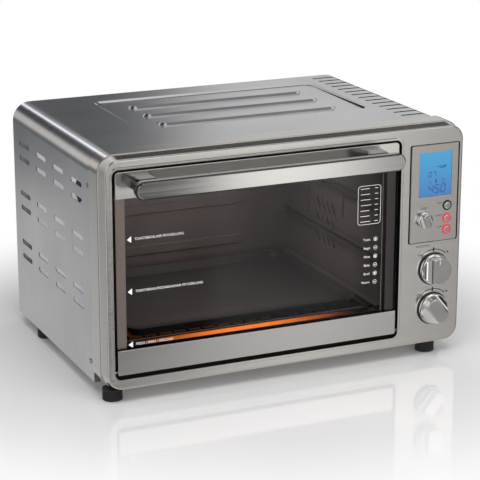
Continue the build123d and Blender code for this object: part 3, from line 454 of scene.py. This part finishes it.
def piece(name, body, material, outlines, y):
    """Thin printed shapes as one object that rides on a body: outlines are (x, z) points at depth y."""
    verts = []
    faces = []
    for outline in outlines:
        base = len(verts)
        count = len(outline)
        verts += [(px, y, pz) for px, pz in outline]
        verts += [(px, y - PRINT_T, pz) for px, pz in outline]
        faces.append(tuple(range(base + count, base + 2 * count)))
        faces.append(tuple(reversed(range(base, base + count))))
        for i in range(count):
            j = (i + 1) % count
            faces.append((base + i, base + j, base + count + j, base + count + i))
    mesh = bpy.data.meshes.new(name)
    mesh.from_pydata(verts, [], faces)
    mesh.materials.append(material)
    obj = bpy.data.objects.new(name, mesh)
    bpy.context.scene.collection.objects.link(obj)
    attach(obj, body)


def words(name, body, material, text, place, size, align):
    """Raised lettering that faces the front."""
    curve = bpy.data.curves.new(name, "FONT")
    curve.body = text
    curve.size = size
    curve.extrude = PRINT_T / 2
    curve.align_x = align
    curve.align_y = "CENTER"
    curve.materials.append(material)
    obj = bpy.data.objects.new(name, curve)
    obj.location = place
    obj.rotation_euler = (math.pi / 2, 0, 0)
    bpy.context.scene.collection.objects.link(obj)
    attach(obj, body)


def bar(x0, x1, z0, z1):
    return [(x0, z0), (x1, z0), (x1, z1), (x0, z1)]


def bar_at(x, z, half_x, half_z):
    return bar(x - half_x, x + half_x, z - half_z, z + half_z)


def around(centre, reach, degrees):
    """The point at a distance and an angle from a centre, anticlockwise from +X."""
    angle = math.radians(degrees)
    return centre[0] + reach * math.cos(angle), centre[1] + reach * math.sin(angle)


def arc(centre, radius, width, start, end, steps):
    """A curved stroke between two angles, as a row of small quads."""
    outer = radius + width / 2
    inner = radius - width / 2
    angles = [start + (end - start) * i / steps for i in range(steps + 1)]
    quads = []
    for here, there in zip(angles, angles[1:]):
        corners = ((outer, here), (outer, there), (inner, there), (inner, here))
        quads.append([around(centre, reach, angle) for reach, angle in corners])
    return quads


def rounded_frame(across, upright, corner, line):
    """A round-cornered rectangle drawn as a line: its extents in x and z, corner radius and line width."""
    left, right = across
    bottom, top = upright
    centres = (
        (right - corner, top - corner),
        (left + corner, top - corner),
        (left + corner, bottom + corner),
        (right - corner, bottom + corner),
    )
    shapes = []
    for quarter, centre in enumerate(centres):
        shapes += arc(centre, corner, line, 90 * quarter, 90 * (quarter + 1), 5)
    for z in (top, bottom):
        shapes.append(bar(left + corner, right - corner, z - line / 2, z + line / 2))
    for x in (left, right):
        shapes.append(bar(x - line / 2, x + line / 2, bottom + corner, top - corner))
    return shapes


# ------------------------------------------------------------ print on the door glass, and a painted reflection on it
GLASS_LOW = low("door_glass")
GLASS_HIGH = high("door_glass")
GLASS_Y = GLASS_LOW.y - PRINT_GAP
# The white ink's faint glow is painted light.
WHITE_INK_PAINTED_GLOW = ink("white_ink_painted_glow", (0.86, 0.86, 0.85), 0.25)
# Grey of a painted reflection on the glass.
PAINTED_GLINT_INK = ink("painted_glint_grey", (0.15, 0.15, 0.15))


def glass_piece(name, outlines, material=WHITE_INK_PAINTED_GLOW):
    piece(name, "door", material, outlines, GLASS_Y)


def glass_words(name, text, x, z, size, align):
    words(name, "door", WHITE_INK_PAINTED_GLOW, text, (x, GLASS_Y, z), size, align)


# Rack levels: an arrow and the level's uses, at three heights above the pane's lower edge.
LEVELS = (
    (18.0, "PIZZA / BAKE / GRILLING"),
    (90.2, "TOAST/BROIL/PIZZA/BAKE/AIR FRY/GRILLING"),
    (160.4, "TOAST/BROIL/AIR FRY/GRILLING"),
)
LEVEL_X = GLASS_LOW.x + 19.8 * MM
LEVEL_WORDS_X = LEVEL_X + 6 * MM
LEVEL_SIZE = 4.7 * MM
ARROW_TIP_X = LEVEL_X - 4.5 * MM
ARROW_BACK_X = LEVEL_X + 1.5 * MM
ARROW_HALF = 4.4 * MM

arrows = []
for rise, text in LEVELS:
    z = GLASS_LOW.z + rise * MM
    arrows.append([(ARROW_TIP_X, z), (ARROW_BACK_X, z - ARROW_HALF), (ARROW_BACK_X, z + ARROW_HALF)])
glass_piece("level_arrows", arrows)
for index, (rise, text) in enumerate(LEVELS):
    z = GLASS_LOW.z + rise * MM
    glass_words(f"level_words_{index}", text, LEVEL_WORDS_X, z, LEVEL_SIZE, "LEFT")

# Time chart: a frame with rows, each a long bar on the left and a short one on the right.
CHART_X = (GLASS_HIGH.x - 60.8 * MM, GLASS_HIGH.x - 26.5 * MM)
CHART_Z = (GLASS_HIGH.z - 86 * MM, GLASS_HIGH.z - 32 * MM)
CHART_LINE = 0.6 * MM
CHART_MARGIN = 4.0 * MM
ROWS = 7
ROW_HALF = 0.35 * MM
ROW_PITCH = (CHART_Z[1] - CHART_Z[0] - 2 * CHART_MARGIN) / (ROWS - 1)
TIME_LENGTH = 5.0 * MM

chart = rounded_frame(CHART_X, CHART_Z, CHART_MARGIN, CHART_LINE)
for row in range(ROWS):
    z = CHART_Z[1] - CHART_MARGIN - row * ROW_PITCH
    left = CHART_X[0] + CHART_MARGIN
    right = CHART_X[1] - CHART_MARGIN
    food_length = (13 + (row * 5) % 4) * MM
    chart.append(bar(left, left + food_length, z - ROW_HALF, z + ROW_HALF))
    chart.append(bar(right - TIME_LENGTH, right, z - ROW_HALF, z + ROW_HALF))
glass_piece("time_chart", chart)

# Functions: a ringed sign and a word each, below the chart.
ICON_WORDS = ("Toast", "Bagel", "Pizza", "Bake", "Broil", "Warm")
ICON_X = CHART_X[1] - 6.5 * MM
ICON_TOP = CHART_Z[0] - 22 * MM
ICON_PITCH = 12.2 * MM
ICON_R = 2.7 * MM
ICON_LINE = 0.55 * MM
ICON_SIGNS = ((1.2 * MM, 1.2 * MM), (1.6 * MM, 0.4 * MM))
ICON_WORDS_X = ICON_X - 8 * MM
ICON_SIZE = 4.8 * MM

icons = []
for index, word in enumerate(ICON_WORDS):
    z = ICON_TOP - index * ICON_PITCH
    icons += arc((ICON_X, z), ICON_R, ICON_LINE, 0, 360, 18)
    icons.append(bar_at(ICON_X, z, *ICON_SIGNS[index % 2]))
    glass_words(f"icon_words_{index}", word, ICON_WORDS_X, z, ICON_SIZE, "RIGHT")
glass_piece("cooking_icons", icons)

# A thin grey line near the pane's right edge: a painted reflection of the glass edge, not print.
EDGE_X = GLASS_HIGH.x - 23.2 * MM
EDGE_HALF = 0.4 * MM
EDGE_MARGIN = 14 * MM
EDGE_SPAN = (GLASS_LOW.z + EDGE_MARGIN, GLASS_HIGH.z - EDGE_MARGIN)
glass_piece("edge_painted_glint", [bar(EDGE_X - EDGE_HALF, EDGE_X + EDGE_HALF, *EDGE_SPAN)], PAINTED_GLINT_INK)

# ------------------------------------------------------------ display digits
DIGIT_INK = ink("digit_ink", (0.02, 0.06, 0.24), 0.3)
DIGIT_SLANT = 0.12
SEGMENTS = {"0": "abcdef", "4": "fgbc", "5": "afgcd", "7": "abc"}


def seven_segment(text, corner, size, stroke, pitch):
    """Outlines of slanted seven-segment digits from their lower left corner."""
    width, height = size
    half = stroke / 2
    rows = {"a": height, "g": height / 2, "d": 0.0}
    columns = {
        "f": (0.0, height / 2, height),
        "b": (width, height / 2, height),
        "e": (0.0, 0.0, height / 2),
        "c": (width, 0.0, height / 2),
    }
    outlines = []
    for index, char in enumerate(text):
        left = corner[0] + index * pitch
        for name in SEGMENTS[char]:
            if name in rows:
                shape = bar(half, width - half, rows[name] - half, rows[name] + half)
            else:
                across, bottom, top = columns[name]
                shape = bar(across - half, across + half, bottom + half, top - half)
            outlines.append([(left + px + DIGIT_SLANT * pz, corner[1] + pz) for px, pz in shape])
    return outlines


# What the display shows, in millimetres from its lower left corner.
shown = seven_segment("450", (15.5, 4.5), (6.4, 11.0), 1.5, 9.6)
shown += seven_segment("07", (15.0, 27.0), (4.2, 7.2), 1.1, 6.6)
shown += arc((38.5, 21.0), 2.6, 0.6, 0, 360, 18)
shown += arc((19.0, 20.5), 2.0, 0.6, 120, 330, 10)
shown.append(bar(26.0, 28.4, 18.5, 23.0))
shown.append(bar(29.0, 42.0, 40.6, 41.6))
shown.append(bar(33.0, 40.0, 38.6, 39.6))
shown.append([(40, 39), (43, 41), (40, 43)])
digits = [[(DISPLAY_LOW.x + px * MM, DISPLAY_LOW.z + pz * MM) for px, pz in shape] for shape in shown]
piece("display_digits", "body", DIGIT_INK, digits, DISPLAY_LOW.y - PRINT_GAP)

# ------------------------------------------------------------ print round the dials and buttons
DARK_INK = ink("dark_ink", (0.035, 0.035, 0.035))
BEZEL_PROUD = 1.2 * MM
PLATE_Y = low("control_plate").y - PRINT_GAP
FACE_Y = low("dial_bezels").y + BEZEL_PROUD - PRINT_GAP

DIAL_ARC_R = 28.0 * MM
DIAL_ARC_WIDTH = 1.1 * MM
DIAL_ARC_SPAN = (54, 128)
DIAL_ARROWS = ((52, -1), (130, 1))
DIAL_ARROW_HALF = 2.0 * MM
DIAL_ARROW_LENGTH = 2.52 * MM
DIAL_ARROW_TURN = math.degrees(DIAL_ARROW_LENGTH / DIAL_ARC_R)
POINTER_HALF = 1.1 * MM
POINTER_SPAN = (24.5 * MM, 30.5 * MM)
SIGN_X = 22.5 * MM
SIGN_Z = 22.0 * MM
SIGN_LONG = 1.8 * MM
SIGN_SHORT = 0.5 * MM


def centre_of(node):
    a, b = low(node), high(node)
    return (a.x + b.x) / 2, (a.z + b.z) / 2


def dial_marks(x, z):
    """Arc with an arrow at each end, pointer mark, plus and minus of one dial."""
    shapes = arc((x, z), DIAL_ARC_R, DIAL_ARC_WIDTH, *DIAL_ARC_SPAN, 16)
    shapes.append(bar(x - POINTER_HALF, x + POINTER_HALF, z + POINTER_SPAN[0], z + POINTER_SPAN[1]))
    for angle, turn in DIAL_ARROWS:
        outer = around((x, z), DIAL_ARC_R + DIAL_ARROW_HALF, angle)
        inner = around((x, z), DIAL_ARC_R - DIAL_ARROW_HALF, angle)
        tip = around((x, z), DIAL_ARC_R, angle + turn * DIAL_ARROW_TURN)
        shapes.append([outer, inner, tip])
    shapes.append(bar_at(x + SIGN_X, z + SIGN_Z, SIGN_LONG, SIGN_SHORT))
    shapes.append(bar_at(x + SIGN_X, z + SIGN_Z, SIGN_SHORT, SIGN_LONG))
    shapes.append(bar_at(x - SIGN_X, z + SIGN_Z, SIGN_LONG, SIGN_SHORT))
    return shapes


marks = dial_marks(*centre_of("upper_dial")) + dial_marks(*centre_of("lower_dial"))
piece("dial_marks", "body", DARK_INK, marks, FACE_Y)

# Each word's place and size are in millimetres, from the centre of the node it belongs to.
BESIDE_BUTTON = (-7.6, 4.2)
CONTROL_WORDS = (
    ("function_word", "FUNCTION", "upper_dial", (-17, 34), 4.2, FACE_Y, "CENTER"),
    ("temp_word", "TEMP", "small_dial", (-1, 16), 4.0, PLATE_Y, "CENTER"),
    ("light_button_word", "LIGHT", "light_button", BESIDE_BUTTON, 3.2, PLATE_Y, "RIGHT"),
    ("start_button_word", "START", "start_button", BESIDE_BUTTON, 3.2, PLATE_Y, "RIGHT"),
    ("stop_button_word", "STOP", "stop_button", BESIDE_BUTTON, 3.2, PLATE_Y, "RIGHT"),
)
for name, text, node, (right, up), size, y, align in CONTROL_WORDS:
    x, z = centre_of(node)
    place = (x + right * MM, y, z + up * MM)
    words(name, "body", DARK_INK, text, place, size * MM, align)

# ------------------------------------------------------------ floor
FLOOR_HALF = 9.0
FLOOR_DARK = (0.69, 0.69, 0.70)
FLOOR_LIGHT = (0.73, 0.73, 0.73)
FADE_START = 0.33
FADE_END = 0.66


def floor():
    """A pale glossy table top that fades into white away from the oven."""
    corners = [(-1, -1), (1, -1), (1, 1), (-1, 1)]
    mesh = bpy.data.meshes.new("floor")
    mesh.from_pydata([(x * FLOOR_HALF, y * FLOOR_HALF, 0) for x, y in corners], [], [(0, 1, 2, 3)])
    obj = bpy.data.objects.new("floor", mesh)
    bpy.context.scene.collection.objects.link(obj)
    tree = Tree("floor_gloss")
    shade = tree.ramp(tree.noise(3.0), [(0.3, FLOOR_DARK), (0.7, FLOOR_LIGHT)])
    tree.link(shade, tree.shader.inputs["Base Color"])
    tree.set(Roughness=0.05)
    where = tree.add("ShaderNodeTexCoord")
    away = tree.add("ShaderNodeVectorMath")
    away.operation = "LENGTH"
    tree.link(where.outputs["Object"], away.inputs[0])
    fade = tree.rise(away.outputs["Value"], FADE_START, FADE_END, smooth=True)
    paper = tree.add("ShaderNodeEmission")
    tree.blend(fade, tree.shader.outputs["BSDF"], paper.outputs["Emission"], tree.surface)
    mesh.materials.append(tree.material)
    obj.visible_glossy = False


# ------------------------------------------------------------ surroundings that the metal mirrors
class Sky(Graph):
    """The studio: a soft vertical gradient with light and dark cards in it."""

    def __init__(self):
        world = bpy.data.worlds.new("studio")
        bpy.context.scene.world = world
        world.use_nodes = True
        super().__init__(world.node_tree)
        where = self.add("ShaderNodeTexCoord")
        split = self.add("ShaderNodeSeparateXYZ")
        self.link(where.outputs["Generated"], split.inputs["Vector"])
        self.azimuth = self.calculate("ARCTAN2", split.outputs["Y"], split.outputs["X"])
        self.elevation = self.calculate("ARCSINE", split.outputs["Z"])
        self.total = None

    def gradient(self, stops):
        """Colours by elevation in degrees, from straight down to straight up."""
        height = self.rise(self.elevation, math.radians(-90), math.radians(90))
        self.total = self.ramp(height, [((degrees + 90) / 180, colour) for degrees, colour in stops])

    def band(self, angle, middle, half, soft):
        """One inside a band of an angle, nothing outside it, with a soft edge; all in degrees."""
        away = self.calculate("ABSOLUTE", self.calculate("SUBTRACT", angle, math.radians(middle)))
        return self.rise(away, math.radians(half + soft), math.radians(half), smooth=True)

    def card(self, place, half, soft, colour):
        """A card: azimuth and elevation of its middle, its half sizes and soft edge, all in degrees."""
        across = self.band(self.azimuth, place[0], half[0], soft)
        upright = self.band(self.elevation, place[1], half[1], soft)
        self.total = self.mix(self.calculate("MULTIPLY", across, upright), self.total, colour)

    def finish(self):
        """The eye sees white paper; everything else sees the cards."""
        studio = self.nodes["Background"]
        self.link(self.total, studio.inputs["Color"])
        studio.inputs["Strength"].default_value = 1.0
        paper = self.add("ShaderNodeBackground", Color=(1, 1, 1, 1))
        eye = self.add("ShaderNodeLightPath").outputs["Is Camera Ray"]
        surface = self.nodes["World Output"].inputs["Surface"]
        self.blend(eye, studio.outputs["Background"], paper.outputs["Background"], surface)


def surroundings():
    """Azimuths run anticlockwise from +X: the oven's front looks to -90."""
    sky = Sky()
    sky.gradient([
        (-90, grey(0.60, 0.02)), (-35, grey(0.55, 0.03)), (-18, grey(0.40, 0.01)), (-5, grey(0.34)),
        (6, grey(0.34)), (16, grey(0.5)), (38, grey(0.75)), (90, grey(1.0)),
    ])
    # Behind the oven: what the roof, the rounded edge and the left side mirror.
    sky.card((60, 12), (6, 7), 5, grey(0.72))
    sky.card((77, 12), (7, 7), 4, grey(0.12, -0.03))
    sky.card((57, 29), (17, 7), 3, grey(0.012))
    sky.card((60, -13), (15, 13), 3, grey(0.005))
    sky.card((101, 19), (8, 6), 2, grey(0.04))
    sky.card((89, 25), (1.6, 8), 2, (1.7, 1.7, 1.9))
    sky.card((113, 4), (7, 5), 3, grey(0.70, 0.05))
    sky.card((108, -12), (9, 4), 4, grey(0.16, -0.04))
    sky.card((106, -19), (2, 3), 3, grey(0.85, 0.01))
    sky.card((110, -25), (14, 5), 4, grey(0.55))
    # Overhead flags: what the sloping sides of the roof's ribs mirror.
    sky.card((-20, 62), (30, 9), 8, grey(0.28))
    sky.card((-58, 62), (15, 9), 8, grey(0.06))
    sky.card((-140, 60), (40, 12), 5, grey(0.04))
    sky.card((140, 60), (40, 12), 5, grey(0.04))
    # In front: what the face, the trims and the handle mirror.
    sky.card((-67, -17), (22, 17), 4, grey(0.42, 0.02))
    sky.card((-55, -17), (5, 17), 3, grey(0.30, 0.02))
    sky.card((-64.6, -16), (1.4, 14), 2.4, grey(1.2, 0.02))
    sky.card((-77, -17), (9.8, 5), 1, grey(0.02))
    sky.card((-68, -8), (6, 4), 2, grey(1.5, 0.03))
    # Flags and strips that give the chrome its contrast.
    sky.card((-105, 12), (14, 5), 2, grey(0.03))
    sky.card((-30, 0), (13, 40), 2, grey(0.02))
    sky.card((12, -12), (36, 14), 4, grey(0.12))
    sky.card((-5, 10), (3.5, 40), 4, grey(1.1))
    sky.card((-105, 0), (6, 40), 2, grey(0.03))
    sky.card((-125, 10), (6, 40), 4, grey(1.3))
    sky.card((-66, 18), (13, 7), 4, grey(1.4, 0.02))
    sky.finish()


# ------------------------------------------------------------ lights
FILL_WARM = (1.0, 0.98, 0.95)


def softbox(name, place, target, size, power, colour=(1, 1, 1)):
    """An area light that neither the camera nor the metal sees; its power is in watts."""
    data = bpy.data.lights.new(name, "AREA")
    data.shape = "RECTANGLE"
    data.size, data.size_y = size
    data.energy = power
    data.color = colour
    obj = bpy.data.objects.new(name, data)
    obj.location = place
    obj.rotation_euler = (Vector(target) - Vector(place)).to_track_quat("-Z", "Y").to_euler()
    obj.visible_glossy = False
    obj.visible_camera = False
    bpy.context.scene.collection.objects.link(obj)


def studio_lights():
    """A large light above and in front on the left, and a weaker, warmer one low on the right."""
    softbox("key", place=(-0.5, -0.9, 2.3), target=(0, 0, 0.1), size=(2.2, 1.6), power=46)
    softbox(
        "fill", place=(1.2, -2.6, 1.3), target=(0, 0, 0.15), size=(1.6, 1.2), power=14, colour=FILL_WARM
    )


LAMP_DROP = 12 * MM
LAMP_SIZE = (0.25, 0.16)
LAMP_WARM = (1.0, 0.88, 0.80)
GLOW_WARM = (1.0, 0.72, 0.55)
GLOW_BEHIND = 30 * MM
GLOW_ABOVE = 12 * MM
GLOW_AIM = Vector((0, 0.3, 0.12))
GLOW_SIZE = (0.3, 0.02)
CASE_GAP = 1.5 * MM
CASE_SHARE = (0.95, 0.85)


def inside_lights():
    """The oven's own light, the glow above the pan and a faint light between case and cavity."""
    roof_low, roof_high = low("cavity_roof"), high("cavity_roof")
    roof_mid = (roof_low + roof_high) / 2
    lamp = (roof_mid.x, roof_mid.y, roof_low.z - LAMP_DROP)
    below = (roof_mid.x, roof_mid.y, 0)
    softbox("oven_light", lamp, below, LAMP_SIZE, power=1.05, colour=LAMP_WARM)

    pan_low, pan_high = low("baking_pan"), high("baking_pan")
    glow = Vector(((pan_low.x + pan_high.x) / 2, pan_low.y + GLOW_BEHIND, pan_high.z + GLOW_ABOVE))
    softbox("pan_glow", glow, glow + GLOW_AIM, GLOW_SIZE, power=0.22, colour=GLOW_WARM)

    wrap_low, wrap_high = low("outer_wrap"), high("outer_wrap")
    gap = Vector((wrap_low.x + CASE_GAP, WRAP_MID.y, WRAP_MID.z))
    gap_size = (CASE_SHARE[0] * (wrap_high.y - wrap_low.y), CASE_SHARE[1] * (wrap_high.z - wrap_low.z))
    softbox("case_light", gap, gap + Vector((1, 0, 0)), gap_size, power=0.2)


# ------------------------------------------------------------ camera
CAMERA_PLACE = (-1.0234, -2.2839, 0.8904)
CAMERA_DOWN = 16.51
CAMERA_ROLL = -0.05
CAMERA_TURN = -24.18
LENS = 137.8
SENSOR = 36.0


def camera():
    data = bpy.data.cameras.new("camera")
    data.lens = LENS
    data.sensor_width = SENSOR
    obj = bpy.data.objects.new("camera", data)
    obj.location = CAMERA_PLACE
    obj.rotation_euler = [math.radians(angle) for angle in (90 - CAMERA_DOWN, CAMERA_ROLL, CAMERA_TURN)]
    bpy.context.scene.collection.objects.link(obj)
    bpy.context.scene.camera = obj
    bpy.context.scene.view_settings.view_transform = "Standard"


floor()
surroundings()
studio_lights()
inside_lights()
camera()
